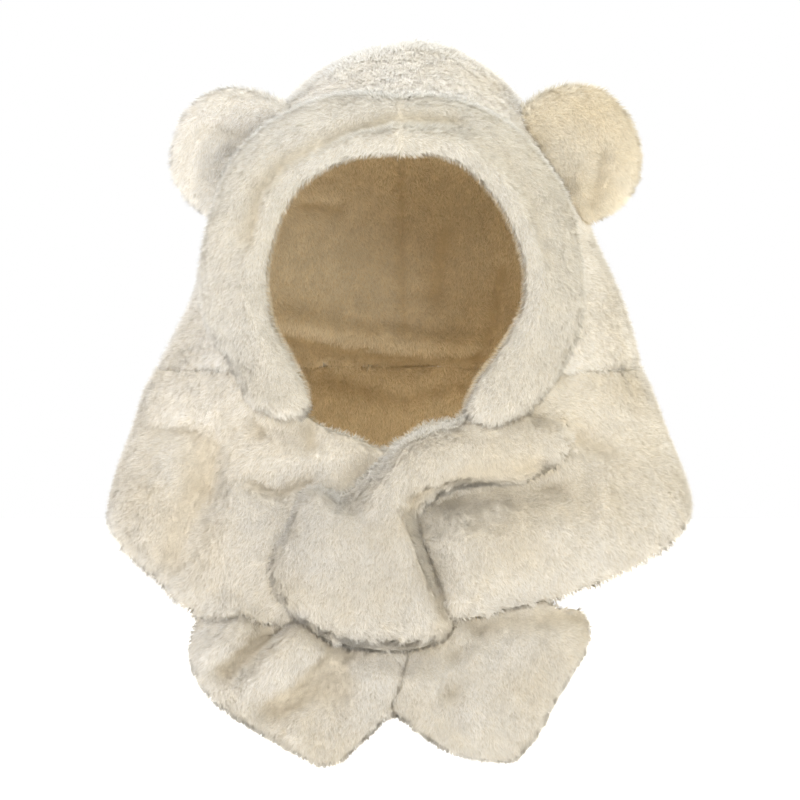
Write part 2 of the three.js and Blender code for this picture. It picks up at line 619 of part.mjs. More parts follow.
// A hanging end with pleats that run down it
function endPad(sections, pleats, width, drop, top, grow) {
  return loft((along, turn) => {
    const angle = fullTurn(turn);
    const read = (column) => readTable(sections, column, along);
    const taper = Math.sqrt(1 - Math.abs(2 * along - 1) ** END_TIP_POWER);
    const middle = 0.5 - Math.cos(angle) / 2 * taper;
    const x = THREE.MathUtils.lerp(read('left'), read('right'), middle) * width - Math.cos(angle) * grow;
    const z = top - read('down') * drop;
    let pleat = 0;
    for (const row of pleats) {
      const line = THREE.MathUtils.lerp(row.top, row.foot, along);
      pleat += row.depth * Math.exp(-(((middle - line) / row.reach) ** 2));
    }
    const sine = Math.sin(angle);
    const thick = read('thick') * END_THICKNESS / 2 + grow;
    const stand = Math.sign(sine) * Math.abs(sine) ** END_ROUND_POWER * thick * taper;
    const sunk = Math.abs(sine) * pleat * END_PLEAT_DEPTH * taper;
    return new THREE.Vector3(x, frontDepth(x, z) + END_SINK - stand + Math.sign(sine) * sunk, z);
  }, END_FINENESS.along, END_FINENESS.around);
}

const END_TOP = -HOOD_DROP - END_TOP_PLACE * SCARF_DROP;
const endLeft = (grow) => endPad(
  END_LEFT_SECTIONS, END_LEFT_PLEATS, END_LEFT_WIDTH, END_LEFT_DROP, END_TOP, grow,
);
const endRight = (grow) => endPad(
  END_RIGHT_SECTIONS, END_RIGHT_PLEATS, END_RIGHT_WIDTH, END_RIGHT_DROP, END_TOP, grow,
);

// Each piece is cut clear of those that it lies on
const body = bodyFill();
const hood = hoodShell();
const scarf = scarfWall();
const brim = brimRoll(0).subtract(body);
const brimRoom = brimRoll(CLEARANCE);
const leftEar = earPad(-1, EAR_REACH_LEFT).subtract(body).subtract(brimRoom);
const rightEar = earPad(1, EAR_REACH_RIGHT).subtract(body).subtract(brimRoom);
const band = bandPad(0).subtract(body).subtract(brimRoom);
const bandRoom = bandPad(CLEARANCE);
const rightEnd = endRight(0).subtract(body).subtract(bandRoom);
const leftEnd = endLeft(0).subtract(body).subtract(bandRoom).subtract(endRight(CLEARANCE));

const hoodedScarf = new THREE.Group();
hoodedScarf.add(toMesh('hood_shell', hood, COLOURS.cream));
hoodedScarf.add(toMesh('brim_cuff', brim, COLOURS.brim));
hoodedScarf.add(toMesh('ear_left', leftEar, COLOURS.ear));
hoodedScarf.add(toMesh('ear_right', rightEar, COLOURS.ear));
hoodedScarf.add(toMesh('scarf_wrap', scarf, COLOURS.scarf));
hoodedScarf.add(toMesh('slot_band', band, COLOURS.brim));
hoodedScarf.add(toMesh('scarf_end_left', leftEnd, COLOURS.scarf));
hoodedScarf.add(toMesh('scarf_end_right', rightEnd, COLOURS.scarf));

export default hoodedScarf;
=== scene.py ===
"""Dresses the hooded scarf: padded cloth that follows the solids, and a dense plush pile over it.

Metres, +Z up. The face opening looks along -Y, and left and right are those of someone who looks at it.
Each solid is replaced by a finely meshed cloth, swelled, drawn in by the room that the pile takes,
creased and rumpled. The pile has one thin triangle for each blade, lit as the cloth under it is.
"""
import math

import bpy
import numpy as np
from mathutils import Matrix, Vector
from mathutils.bvhtree import BVHTree


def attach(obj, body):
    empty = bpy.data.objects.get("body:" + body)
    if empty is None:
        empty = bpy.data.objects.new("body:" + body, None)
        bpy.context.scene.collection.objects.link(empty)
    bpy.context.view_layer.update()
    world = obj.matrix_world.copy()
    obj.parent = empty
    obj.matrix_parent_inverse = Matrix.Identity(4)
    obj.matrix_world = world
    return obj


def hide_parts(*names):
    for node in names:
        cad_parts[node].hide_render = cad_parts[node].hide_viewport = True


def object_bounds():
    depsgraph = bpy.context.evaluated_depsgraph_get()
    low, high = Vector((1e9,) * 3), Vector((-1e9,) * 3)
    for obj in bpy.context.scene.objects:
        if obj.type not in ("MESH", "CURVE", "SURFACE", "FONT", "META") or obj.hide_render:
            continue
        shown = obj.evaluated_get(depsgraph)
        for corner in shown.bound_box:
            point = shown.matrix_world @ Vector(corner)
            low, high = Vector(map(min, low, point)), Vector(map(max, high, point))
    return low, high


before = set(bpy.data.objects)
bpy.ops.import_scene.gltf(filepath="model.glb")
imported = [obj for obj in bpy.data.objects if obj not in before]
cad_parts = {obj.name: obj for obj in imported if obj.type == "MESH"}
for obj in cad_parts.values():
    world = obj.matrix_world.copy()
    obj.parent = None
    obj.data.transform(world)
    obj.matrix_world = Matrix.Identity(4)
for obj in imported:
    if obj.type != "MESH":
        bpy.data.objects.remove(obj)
cad_low, cad_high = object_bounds()

SEAT = "root"
MM = 0.001
TINY = 1e-9                   # keeps a division away from zero

# Box of the whole part, which the tables below measure in: across from the middle as a share of the
# half width, down from the top as a share of the height
HALF_WIDTH = (cad_high.x - cad_low.x) / 2
MIDDLE = (cad_high.x + cad_low.x) / 2
TOP = cad_high.z
HEIGHT = cad_high.z - cad_low.z

# One row for each solid: its material slot; from how many millimetres off its cloth is drawn against
# the next piece, and how much of that its edges take too (melt); how finely it is meshed, in
# millimetres, and how many times that is smoothed; how much pile it takes for its area, and how long
# that is, in millimetres; and its fill as a pad
PIECE_KEYS = ("node", "slot", "touch", "melt", "voxel", "rounds", "share", "pile", "fill")
PIECE_ROWS = [
    ("hood_shell", "plush_hood", 9, 0.4, 4.0, 3, 1.0, 6.8, 0.3),
    ("brim_cuff", "plush_brim", 9, 0.3, 3.6, 6, 1.5, 6.8, 0.6),
    ("ear_left", "plush_hood", 8, 0.0, 3.2, 6, 1.3, 6.8, 0.5),
    ("ear_right", "plush_ear", 8, 0.0, 3.2, 6, 1.3, 6.8, 0.5),
    ("scarf_wrap", "plush_scarf", 9, 0.4, 4.0, 3, 1.0, 6.6, None),
    ("slot_band", "plush_scarf", 9, 0.25, 3.4, 6, 1.5, 6.6, 0.5),
    ("scarf_end_left", "plush_scarf", 6, 0.4, 3.4, 5, 1.3, 6.6, 0.4),
    ("scarf_end_right", "plush_scarf", 6, 0.4, 3.4, 5, 1.3, 6.6, 0.4),
]
PIECES = [dict(zip(PIECE_KEYS, row)) for row in PIECE_ROWS]
SHELLS = ("hood_shell", "scarf_wrap")     # thin walls, whose two faces move as one

# Creases and puffs, seen from the front: a line, how far the effect reaches and how far it goes in
# (below zero it stands out), both in millimetres. Those "inside" are seen through the face opening.
CREASES = [
    ("scarf_wrap", "outside", [
        ("left shoulder crease", [(-0.835, 0.537), (-0.705, 0.546)], 4, 6),
        ("left valley", [(-0.658, 0.566), (-0.681, 0.616), (-0.750, 0.666), (-0.780, 0.715)], 13, 6),
        ("crease over the left puff", [(-0.497, 0.611), (-0.412, 0.622), (-0.310, 0.606)], 4.5, 7),
        ("notch under the brim", [(-0.487, 0.524), (-0.455, 0.540)], 5, 4),
        ("notch in the ruffle", [(-0.300, 0.532), (-0.296, 0.556)], 5, 4),
        ("deep fold", [(0.106, 0.640), (0.252, 0.622), (0.560, 0.612)], 4, 2),
        ("ridge on the right", [(0.681, 0.587), (0.668, 0.658)], 6, -3),
        ("dent on the right", [(0.610, 0.548), (0.680, 0.566)], 8, 4),
    ]),
    ("hood_shell", "outside", [
        ("crown crease", [(0.174, 0.042), (0.330, 0.074)], 6, 2),
    ]),
    ("hood_shell", "inside", [
        ("centre seam", [(0.0, 0.150), (0.0, 0.292), (0.008, 0.400)], 3.6, 4),
        ("short crease", [(-0.341, 0.224), (-0.208, 0.227)], 4, 4.5),
        ("soft fold", [(0.150, 0.270), (0.119, 0.350)], 8, 4.5),
        ("fold on the right", [(0.365, 0.313), (0.324, 0.394), (0.283, 0.435)], 5, 4.5),
        ("neck seam", [(-0.388, 0.409), (-0.177, 0.438), (0.017, 0.446), (0.119, 0.450), (0.276, 0.440)],
         3.8, 5),
        ("puff over the neck seam", [(-0.388, 0.380), (-0.177, 0.408), (0.119, 0.420), (0.276, 0.415)],
         6, -3),
    ]),
    ("scarf_wrap", "inside", [
        ("sweep below the seam", [(-0.250, 0.470), (0.0, 0.500), (0.230, 0.480)], 6, 2.2),
    ]),
    ("brim_cuff", "outside", [
        ("valley of the roll", [(0.187, 0.114), (0.0, 0.110), (-0.187, 0.131), (-0.375, 0.167),
                                (-0.470, 0.209), (-0.511, 0.271)], 7, 5),
        ("lip on the left", [(0.239, 0.153), (0.0, 0.139), (-0.204, 0.156), (-0.324, 0.195),
                             (-0.399, 0.243), (-0.450, 0.306), (-0.470, 0.362)], 9, -3),
        ("lip on the right", [(0.307, 0.181), (0.409, 0.243), (0.450, 0.306)], 9, -2),
        ("outer roll", [(-0.341, 0.104), (-0.187, 0.086), (0.0, 0.081), (0.204, 0.088), (0.409, 0.118)],
         9, -2.5),
        ("valley on the right", [(0.324, 0.153), (0.443, 0.223), (0.494, 0.306)], 7, 2),
    ]),
    ("ear_left", "outside", [
        ("ear crease", [(-0.726, 0.172), (-0.709, 0.136), (-0.658, 0.124), (-0.504, 0.131)], 5, 1.8),
    ]),
    ("ear_right", "outside", [
        ("ear crease", [(0.685, 0.161), (0.637, 0.228)], 6, 3),
    ]),
    ("scarf_end_left", "outside", [
        ("pleat from the left notch", [(-0.368, 0.783), (-0.463, 0.819), (-0.579, 0.862)], 7, 10),
        ("pleat from the right notch", [(-0.191, 0.816), (-0.240, 0.860), (-0.330, 0.900),
                                        (-0.426, 0.918)], 9, 9),
        ("puff between the pleats", [(-0.330, 0.810), (-0.440, 0.866), (-0.510, 0.890)], 9, -7),
        ("puff over the first pleat", [(-0.500, 0.800), (-0.600, 0.835)], 9, -5),
        ("shaded hollow", [(-0.180, 0.845), (-0.215, 0.890)], 13, 6),
        ("fullness under the band", [(-0.300, 0.826), (-0.190, 0.848), (-0.100, 0.868), (0.0, 0.876)],
         8, -4),
    ]),
    ("scarf_end_right", "outside", [
        ("fullness under the band", [(0.0, 0.876), (0.120, 0.878), (0.250, 0.840)], 8, -4),
        ("hollow under the lobe", [(0.266, 0.800), (0.596, 0.790)], 10, 4),
        ("valley", [(0.187, 0.841), (0.170, 0.890)], 8, 4),
    ]),
    ("slot_band", "outside", [
        ("dimple by the deep fold", [(0.058, 0.655), (0.092, 0.705)], 6, 2),
        ("slope to the lobe", [(0.085, 0.640), (0.110, 0.700), (0.150, 0.760), (0.185, 0.800)], 12, 4),
        ("slope to the deep fold", [(0.110, 0.630), (0.250, 0.596), (0.420, 0.590)], 12, 4),
    ]),
    ("scarf_wrap", "outside", [
        ("shade over the notch of the band", [(-0.170, 0.606), (-0.100, 0.588)], 12, 4),
        ("lobe against the band", [(0.150, 0.665), (0.190, 0.730), (0.235, 0.780)], 13, -6),
    ]),
]
CREASE_FULL = 5 * MM          # a crease this deep has its full effect on the pile
CREASE_PILE = 0.5             # how much of the pile's length it takes away
CREASE_DARK = 0.8             # how much of the way from tip to root colour it takes the pile: painted shade in creases
INSIDE_CREASE_MOST = 0.75     # an inside crease goes in by at most this share of the room for pile

# Painted light on the tan painted shade inside: across and down, reach in millimetres, how far it turns
# cream
LIT_PLACES_INSIDE = [
    ("left wall", (-0.300, 0.320), 62, 1.0),
    ("middle", (0.0, 0.360), 42, 0.55),
    ("right wall", (0.240, 0.300), 28, 0.16),
]

# Pairs of limits: a share is 0 below the first and 1 above the second
CREASE_FACING = (0.05, 0.5)   # how far a face looks forward, to take creases
TOUCH_FACING = (-0.5, 0.3)    # how far it looks at the next piece, to be drawn against it
INSIDE_FACING = (0.0, 0.4)    # how far it looks into the hollow, to belong to the inside
LIP_FACING = (0.3, 0.9)       # how far a face of the brim looks to the middle of its ring, and how far back, to take the tan painted shade of the hollow
LIP_BACKWARD = (-0.45, 0.1)   # and how far back, to take the lining's colour
BAND_ARM = (0.25, 0.45)       # how far across the band's right arm passes into the scarf
FRONT_LIES = (-0.06, 0.02)    # how far forward cloth lies, to take the front's share of pile
CROWN_FROM = -0.11            # the hollow's middle is a point at this height, and an upright axis below

# Cloth
SMOOTH_FACTOR = 0.5
PILE_ROOM = 2.3 * MM          # the cloth lies this far under the solids' faces, and the pile fills it
ROOM_MOST = 0.28              # and no further than this share of the wall's thickness there
JUST_UNDER = 0.1 * MM         # from how far under the face that thickness is looked for
TOUCH_NEAR = 0.4              # share of a piece's touch reach within which its cloth meets the next piece
TOUCH_FULL = 0.98             # how much of the way to the next piece it is drawn there
NEAR_FULL = 0.5               # share of the room for pile that cloth beside another piece does without
EVEN_ROUNDS = 2               # how many times such movements are evened out over the cloth
RUMPLE_WIDE = 1.4 * MM        # uneven padding, at about a hand's breadth
RUMPLE_FINE = 0.35 * MM       # uneven cloth, at about a finger's breadth
WIDE_SCALE = 70 * MM
FINE_SCALE = 22 * MM
PRESSURE = 4.0                # the pads are swelled by a cloth simulation
SWELL_FRAMES = 20
SWELL_MOST = 3.0 * MM

# Pile
BLADE_TOTAL = 785000
BLADE_PIECE_MOST = 175000
BLADE_WIDTH = 0.75 * MM
BLADE_WIDTHS = (0.7, 1.3)     # least and most, as a share of that
BLADE_LENGTHS = (0.7, 1.12)   # least and most, as a share of the piece's own length of pile
ROOT_DEPTH = 0.4 * MM         # blades begin this far under the cloth
LEAN = math.radians(52)       # from the cloth's normal
LEAN_SPREAD = math.radians(12)
COMB_SPREAD = math.radians(24)
TIP_TURN = 0.18               # how far the normal that lights a tip turns the way that the blade points
TIP_SPREAD = 0.12
ROOT_SPREAD = 0.1
FREE_REACH = 14 * MM          # pile shortens where another piece is nearer than this
FREE_LEAST = 0.6              # to this share of its length
RAY_BACK = 1.0 * MM           # that is looked for from this far under the cloth, which may touch it
CLOSE_LIGHT = 0.3             # how far from the root colour pile is that lies against the next piece: painted shade between pieces
CLOTH_LIGHT = 0.5             # how far from it the cloth under free pile is, so it keeps half the painted shade of the root colour

# The way that the pile lies: how strongly each of these draws it
SWIRL_SCALE = 48 * MM
SWIRL_PULL = 0.28
CLUMP_SCALE = 9 * MM
CLUMP_PULL = 0.36
AWAY_PULL = 0.7               # away from the upright middle axis
DOWN_PULL = (0.1, 0.0, -0.8)
RING_PULL = 1.1               # round the brim
RING_MIDDLE = -0.155          # height of the middle of the brim's ring
PARTING = 0.02                # the brim's pile parts over this breadth at the top

# Share of the pile by where the cloth lies
FRONT_SHARE = 1.0
BACK_SHARE = 0.6
SEEN_INSIDE_SHARE = 1.0
INSIDE_SHARE = 0.3
HIDDEN_SHARE = 0.08
HIDDEN_NEAR = 0.12            # share of the reach below which cloth counts as hidden by the next piece
OPENING = (-0.125, 0.125, -0.36, -0.06)   # the part of the inside that the face opening shows
MOSTLY = 0.5                  # a triangle goes to the part that it belongs to by more than this

# Smooth noise: sine waves of several lengths, as shares of the scale that is asked for
WAVE_COUNT = 14
WAVE_LENGTHS = (0.8, 2.0)
WAVE_LEVEL = 1.6              # the sum is divided by this, to lie about between -1 and 1

# Seeds of all that is random
SEED = 7
WAVE_SEEDS = SEED * 1000
PILE_SEEDS = SEED * 100
WIDE_SEED = 1
FINE_SEED = 2
COMB_SEED = 5
CLUMP_SEED_STEP = 3           # from the swirls' seed to the clumps'
SHADE_SEED = 6
SEEDS_PER_PIECE = 10

# Four numbers at each point of cloth and pile: how far it is from the root colour (painted shade), a
# random shade, how far it takes the tan painted shade of the hollow, and how far painted light pales that
FACTS = "pile"

# Colours, linear
CREAM_TIP = (0.93, 0.885, 0.80)
# darker root colour: painted shade deep in the pile
CREAM_ROOT_SHADE = (0.73, 0.635, 0.48)
# tan: painted shade in the hollow of the hood and on the brim's inner lip
SHADE_TAN_TIP = (0.86, 0.685, 0.41)
SHADE_TAN_ROOT = (0.52, 0.37, 0.19)
# pale: painted light where it reaches into the hollow
LIT_INSIDE_COLOUR = (1.0, 0.92, 0.74)
WARM = (0.93, 0.855, 0.70)
PLUSHES = [                   # slot, how far it turns warm in places, tint below and tint above; the upper tint of hood and scarf is painted light
    ("plush_hood", 0.25, (0.875, 0.895, 0.935), (1.03, 1.075, 1.17)),
    ("plush_brim", 0.2, (0.91, 0.93, 0.97), (0.89, 0.92, 0.965)),
    # the right ear's warmer, darker copy of the plush: painted shade on the side away from the key lamp
    ("plush_ear", 0.6, (0.93, 0.925, 0.90), (0.93, 0.925, 0.90)),
    ("plush_scarf", 0.4, (0.825, 0.845, 0.89), (1.08, 1.10, 1.13)),
]
TINT_HEIGHTS = (-0.36, -0.08)             # between which the one tint passes into the other: painted light by height

# Unevenness of colour and cloth: scale and detail of each noise, the range of it that is used, and
# between which factors that makes the colour vary
NOISE_ROUGHNESS = 0.6
BROAD_NOISE, BROAD_RANGE = (16.0, 2.0), (0.35, 0.7)
CLUMP_NOISE, CLUMP_RANGE, CLUMP_SHADES = (95.0, 3.0), (0.3, 0.7), (0.93, 1.04)
SPECK_SHADES = (0.88, 1.07)
CLOTH_NOISE = (500.0, 2.0)
BUMP_STRENGTH = 0.2
BUMP_DEPTH = 0.5 * MM
PLUSH_SHADER = {
    "Roughness": 0.9,
    "Specular IOR Level": 0.15,
    "Transmission Weight": 0.03,
    "Sheen Weight": 0.08,
    "Sheen Tint": (*WARM, 1.0),
    "Sheen Roughness": 0.5,
}
MIX_FACTOR, MIX_FIRST, MIX_SECOND, MIX_RESULT = 0, 6, 7, 2      # sockets of a Mix node that mixes colours

# Camera, lamps and studio
CAMERA_DISTANCE = 5.0
CAMERA_ELEVATION = math.radians(1)
CAMERA_TARGET = (0.0, -0.03, -0.269)
SEEN_WIDTH = 0.619            # breadth of the picture at the target
SENSOR_WIDTH = 36
CLIP_END = 50
LAMPS = [                     # name, place, what it is aimed at, breadth, power and colour
    ("key", (-1.0, -2.4, 1.1), (0, 0, -0.25), 1.8, 27, (1, 0.99, 0.99)),
    ("fill", (1.6, -2.2, -0.1), (0, 0, -0.3), 2.0, 25, (1, 0.955, 0.83)),
    ("top", (0.0, -0.7, 1.95), (0, 0, -0.2), 2.0, 57, (0.93, 0.975, 1)),
    ("left", (-2.3, -0.4, -0.2), (0, 0, -0.3), 2.0, 32, (0.98, 0.98, 1)),
    ("right", (2.3, 0.2, -0.2), (0, 0, -0.3), 2.0, 32, (1, 0.945, 0.78)),
    ("back", (0.3, 2.4, 0.6), (0, 0, -0.25), 2.0, 24, (1, 0.985, 0.96)),
]
STUDIO_LIGHT = (1, 0.975, 0.93, 1)
STUDIO_STRENGTH = 0.29
WHITE = (1, 1, 1, 1)
FLOOR_HALF = 6.0
FLOOR_GAP = 0.03              # between the part and the floor
FLOOR_SHADER = {
    "Base Color": (0.93, 0.93, 0.93, 1),
    "Roughness": 0.9,
    "Emission Color": (1, 0.965, 0.91, 1),
    "Emission Strength": 1.0,
}


def waves(points, scale, seed, columns=1):
    """Smooth noise of about that scale at each point, from -1 to 1, in one or more columns."""
    draw = np.random.default_rng(WAVE_SEEDS + seed)
    total = np.zeros((len(points), columns))
    for _ in range(WAVE_COUNT):
        direction = draw.normal(size=3)
        direction *= 2 * math.pi / (scale * draw.uniform(*WAVE_LENGTHS) * np.linalg.norm(direction))
        angle = points @ direction
        for column in range(columns):
            total[:, column] += np.sin(angle + draw.uniform(0, 2 * math.pi))
    return total / math.sqrt(WAVE_COUNT / 2) / WAVE_LEVEL


def unit(vectors):
    """Each row made one long."""
    return vectors / np.maximum(np.linalg.norm(vectors, axis=1, keepdims=True), TINY)


def smoothstep(x, low, high):
    """0 up to the low limit, 1 from the high one, and a smooth rise between them."""
    t = np.clip((x - low) / (high - low), 0, 1)
    return t * t * (3 - 2 * t)


def vertices(mesh):
    flat = np.empty(len(mesh.vertices) * 3, np.float32)
    mesh.vertices.foreach_get("co", flat)
    return flat.reshape(-1, 3).astype(float)


def vertex_normals(mesh):
    flat = np.empty(len(mesh.vertices) * 3, np.float32)
    mesh.vertex_normals.foreach_get("vector", flat)
    return flat.reshape(-1, 3).astype(float)


def set_vertices(mesh, points):
    mesh.vertices.foreach_set("co", points.astype(np.float32).ravel())
    mesh.update()


def triangles(mesh):
    mesh.calc_loop_triangles()
    flat = np.empty(len(mesh.loop_triangles) * 3, np.int32)
    mesh.loop_triangles.foreach_get("vertices", flat)
    return flat.reshape(-1, 3)


def search_tree(shapes):
    """One search tree of several shapes, each given by its points and its triangles."""
    starts = np.cumsum([0] + [len(points) for points, _ in shapes])
    faces = np.concatenate([tris + start for (_, tris), start in zip(shapes, starts)])
    return BVHTree.FromPolygons(np.concatenate([points for points, _ in shapes]).tolist(), faces.tolist())


def add_object(name, data):
    """A new object in the scene."""
    made = bpy.data.objects.new(name, data)
    bpy.context.scene.collection.objects.link(made)
    return made


def look_along(thing, direction):
    """Turns a camera or a lamp to look that way."""
    thing.rotation_mode = "QUATERNION"
    thing.rotation_quaternion = direction.to_track_quat("-Z", "Y")


def set_sockets(shader, values):
    for socket, value in values.items():
        shader.inputs[socket].default_value = value


def soft_copy(row):
    """A finely meshed, rounded copy of a solid as a new object."""
    name = row["node"] + "_cloth"
    start = add_object(name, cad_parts[row["node"]].data.copy())
    grid = start.modifiers.new("grid", "REMESH")
    grid.mode = "VOXEL"
    grid.voxel_size = row["voxel"] * MM
    rounded = start.modifiers.new("round", "SMOOTH")
    rounded.factor = SMOOTH_FACTOR
    rounded.iterations = row["rounds"]
    graph = bpy.context.evaluated_depsgraph_get()
    mesh = bpy.data.meshes.new_from_object(start.evaluated_get(graph))
    start.modifiers.clear()
    start.data = mesh
    mesh.name = name
    return start


def seen_place(points):
    """Across and down of each point, as the tables measure them."""
    return np.stack([(points[:, 0] - MIDDLE) / HALF_WIDTH, (TOP - points[:, 2]) / HEIGHT], axis=1)


def line_distance(seen, line):
    """How far each point, as seen from the front in metres, is from a line of several points."""
    nearest = np.full(len(seen), np.inf)
    corners = np.array(line) * [HALF_WIDTH, HEIGHT]
    for a, b in zip(corners[:-1], corners[1:]):
        along = np.clip(((seen - a) @ (b - a)) / max((b - a) @ (b - a), TINY), 0, 1)
        nearest = np.minimum(nearest, np.linalg.norm(seen - (a + along[:, None] * (b - a)), axis=1))
    return nearest


def nearness(points, line, reach):
    """1 on a line, as seen from the front, and falling to about a third at its reach."""
    seen = seen_place(points) * [HALF_WIDTH, HEIGHT]
    return np.exp(-((line_distance(seen, line) / (reach * MM)) ** 2))


def inside_share(node, points, normals):
    """1 on the faces that look into the hollow of the hood or the scarf, 0 elsewhere."""
    if node not in SHELLS:
        return np.zeros(len(points))
    outward = points.copy()
    outward[:, 2] = np.where(points[:, 2] > CROWN_FROM, points[:, 2] - CROWN_FROM, 0)
    return smoothstep(-np.sum(unit(outward) * normals, axis=1), *INSIDE_FACING)


def lip_shade_share(node, points, normals):
    """1 on the brim's faces that look into the hood, which take the tan painted shade of the hollow, 0
    elsewhere.
    """
    if node != "brim_cuff":
        return np.zeros(len(points))
    inward = unit((points - [MIDDLE, 0, RING_MIDDLE]) * [-1, 0, -1])
    facing = smoothstep(np.sum(inward * normals, axis=1), *LIP_FACING)
    return facing * smoothstep(normals[:, 1], *LIP_BACKWARD)


def painted_light_inside(points):
    """How far painted light pales the tan painted shade inside, at each point."""
    pale = sum(amount * nearness(points, [spot, spot], reach) for _, spot, reach, amount in LIT_PLACES_INSIDE)
    return np.clip(pale, 0, 1)


def band_edge(node, points):
    """1 on the end of the band's right arm, which passes smoothly into the scarf, 0 elsewhere."""
    if node != "slot_band":
        return np.zeros(len(points))
    return smoothstep(seen_place(points)[:, 0], *BAND_ARM)


def press_creases(node, points, normals, room):
    """Pushes the front of a piece in along its creases. Gives the points and how creased each is."""
    inside = inside_share(node, points, normals)
    sideways = unit(points * [1, 1, 0]) if node in SHELLS else normals
    outside_facing = smoothstep(-sideways[:, 1], *CREASE_FACING)
    inside_facing = smoothstep(-normals[:, 1], *CREASE_FACING) * inside
    moved = points.copy()
    creased = np.zeros(len(points))
    for piece, face, rows in CREASES:
        for _, line, reach, amount in rows if piece == node else ():
            depth = amount * MM * nearness(points, line, reach)
            if face == "inside":
                inward = np.minimum(depth, room * INSIDE_CREASE_MOST)
                moved -= normals * (inward * inside_facing)[:, None]
                creased += depth * inside_facing
            else:
                moved -= sideways * (depth * outside_facing)[:, None]
                creased += depth * outside_facing * (1 - inside)
    return moved, np.clip(creased / CREASE_FULL, 0, 1)


def rumple(points):
    """Uneven padding and cloth. Pieces that touch move together."""
    wide = waves(points, WIDE_SCALE, WIDE_SEED, 3) * RUMPLE_WIDE
    fine = waves(points, FINE_SCALE, FINE_SEED, 3) * RUMPLE_FINE
    return points + wide + fine


def inflate(cloths):
    """Swells the pads under pressure, all in one simulation. Gives each one's movement."""
    starts = [vertices(cloth.data) for cloth in cloths]
    for cloth in cloths:
        fabric = cloth.modifiers.new("swell", "CLOTH")
        fabric.settings.use_pressure = True
        fabric.settings.uniform_pressure_force = PRESSURE
        fabric.settings.effector_weights.gravity = 0
        fabric.point_cache.frame_end = SWELL_FRAMES
    for number in range(1, SWELL_FRAMES + 1):
        bpy.context.scene.frame_set(number)
    graph = bpy.context.evaluated_depsgraph_get()
    moves = []
    for cloth, points in zip(cloths, starts):
        swollen = cloth.evaluated_get(graph).to_mesh()
        move = vertices(swollen) - points
        far = np.linalg.norm(move, axis=1, keepdims=True)
        moves.append(move * np.minimum(1, SWELL_MOST / np.maximum(far, TINY)))
        cloth.evaluated_get(graph).to_mesh_clear()
        cloth.modifiers.clear()
    bpy.context.scene.frame_set(1)
    return moves


def spread_out(mesh, values):
    """Each vertex's values, evened out with its neighbours'."""
    flat = np.empty(len(mesh.edges) * 2, np.int32)
    mesh.edges.foreach_get("vertices", flat)
    a, b = flat.reshape(-1, 2).T
    count = np.bincount(flat, minlength=len(values)).reshape(-1, *[1] * (values.ndim - 1))
    for _ in range(EVEN_ROUNDS):
        total = np.zeros_like(values)
        np.add.at(total, a, values[b])
        np.add.at(total, b, values[a])
        values = (values + total / np.maximum(count, 1)) / 2
    return values


def pile_room(mesh, points, normals):
    """How far the cloth may lie under its solid's face, which is less where the solid is thin."""
    own = search_tree([(points, triangles(mesh))])
    most = PILE_ROOM / ROOM_MOST
    room = np.full(len(points), PILE_ROOM)
    for i, (point, normal) in enumerate(zip(points, normals)):
        through = own.ray_cast(Vector(point - normal * JUST_UNDER), Vector(-normal), most)[3]
        if through is not None:
            room[i] = through * ROOM_MOST
    return spread_out(mesh, room)


def settle(mesh, points, normals, swell, room, others, touch, melt):
    """Draws cloth that is near another piece against it, and leaves room for pile on the rest."""
    pull = np.zeros_like(points)
    away = np.full(len(points), touch)
    for i, point in enumerate(points):
        place, _, _, distance = others.find_nearest(Vector(point), touch)
        if place is not None:
            pull[i] = np.array(place) - point
            away[i] = distance
    near = 1 - smoothstep(away, TOUCH_NEAR * touch, touch)
    facing = smoothstep(np.sum(unit(pull) * normals, axis=1), *TOUCH_FACING)
    held = near * (melt + (1 - melt) * facing)
    inward = (swell - normals * room[:, None]) * (1 - np.maximum(held, NEAR_FULL * near))[:, None]
    return points + pull * (TOUCH_FULL * held)[:, None] + spread_out(mesh, inward)


def solids_tree(left_out):
    """A search tree of all solids but one."""
    meshes = [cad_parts[row["node"]].data for row in PIECES if row["node"] != left_out]
    return search_tree([(vertices(mesh), triangles(mesh)) for mesh in meshes])


def make_cloths():
    """The padded cloth of every piece, under its pile, and how creased each point of it is."""
    cloths = [soft_copy(row) for row in PIECES]
    pads = [cloth for row, cloth in zip(PIECES, cloths) if row["node"] not in SHELLS]
    swells = dict(zip([pad.name for pad in pads], inflate(pads)))
    creased = []
    for row, cloth in zip(PIECES, cloths):
        node = row["node"]
        points, normals = vertices(cloth.data), vertex_normals(cloth.data)
        swell = swells.get(cloth.name, np.zeros_like(points))
        room = pile_room(cloth.data, points, normals)
        touch, melt = row["touch"] * MM, np.maximum(row["melt"], band_edge(node, points))
        points = settle(cloth.data, points, normals, swell, room, solids_tree(node), touch, melt)
        points, depth = press_creases(node, points, normals, room)
        set_vertices(cloth.data, rumple(points))
        creased.append(depth)
    return cloths, creased


def free_distance(points, normals, others):
    """How far each point is from the next piece in front of it, at most the reach."""
    found = np.full(len(points), FREE_REACH)
    for i, (point, normal) in enumerate(zip(points, normals)):
        start = Vector(point - normal * RAY_BACK)
        distance = others.ray_cast(start, Vector(normal), FREE_REACH + RAY_BACK)[3]
        if distance is not None:
            found[i] = max(distance - RAY_BACK, 0)
    return found


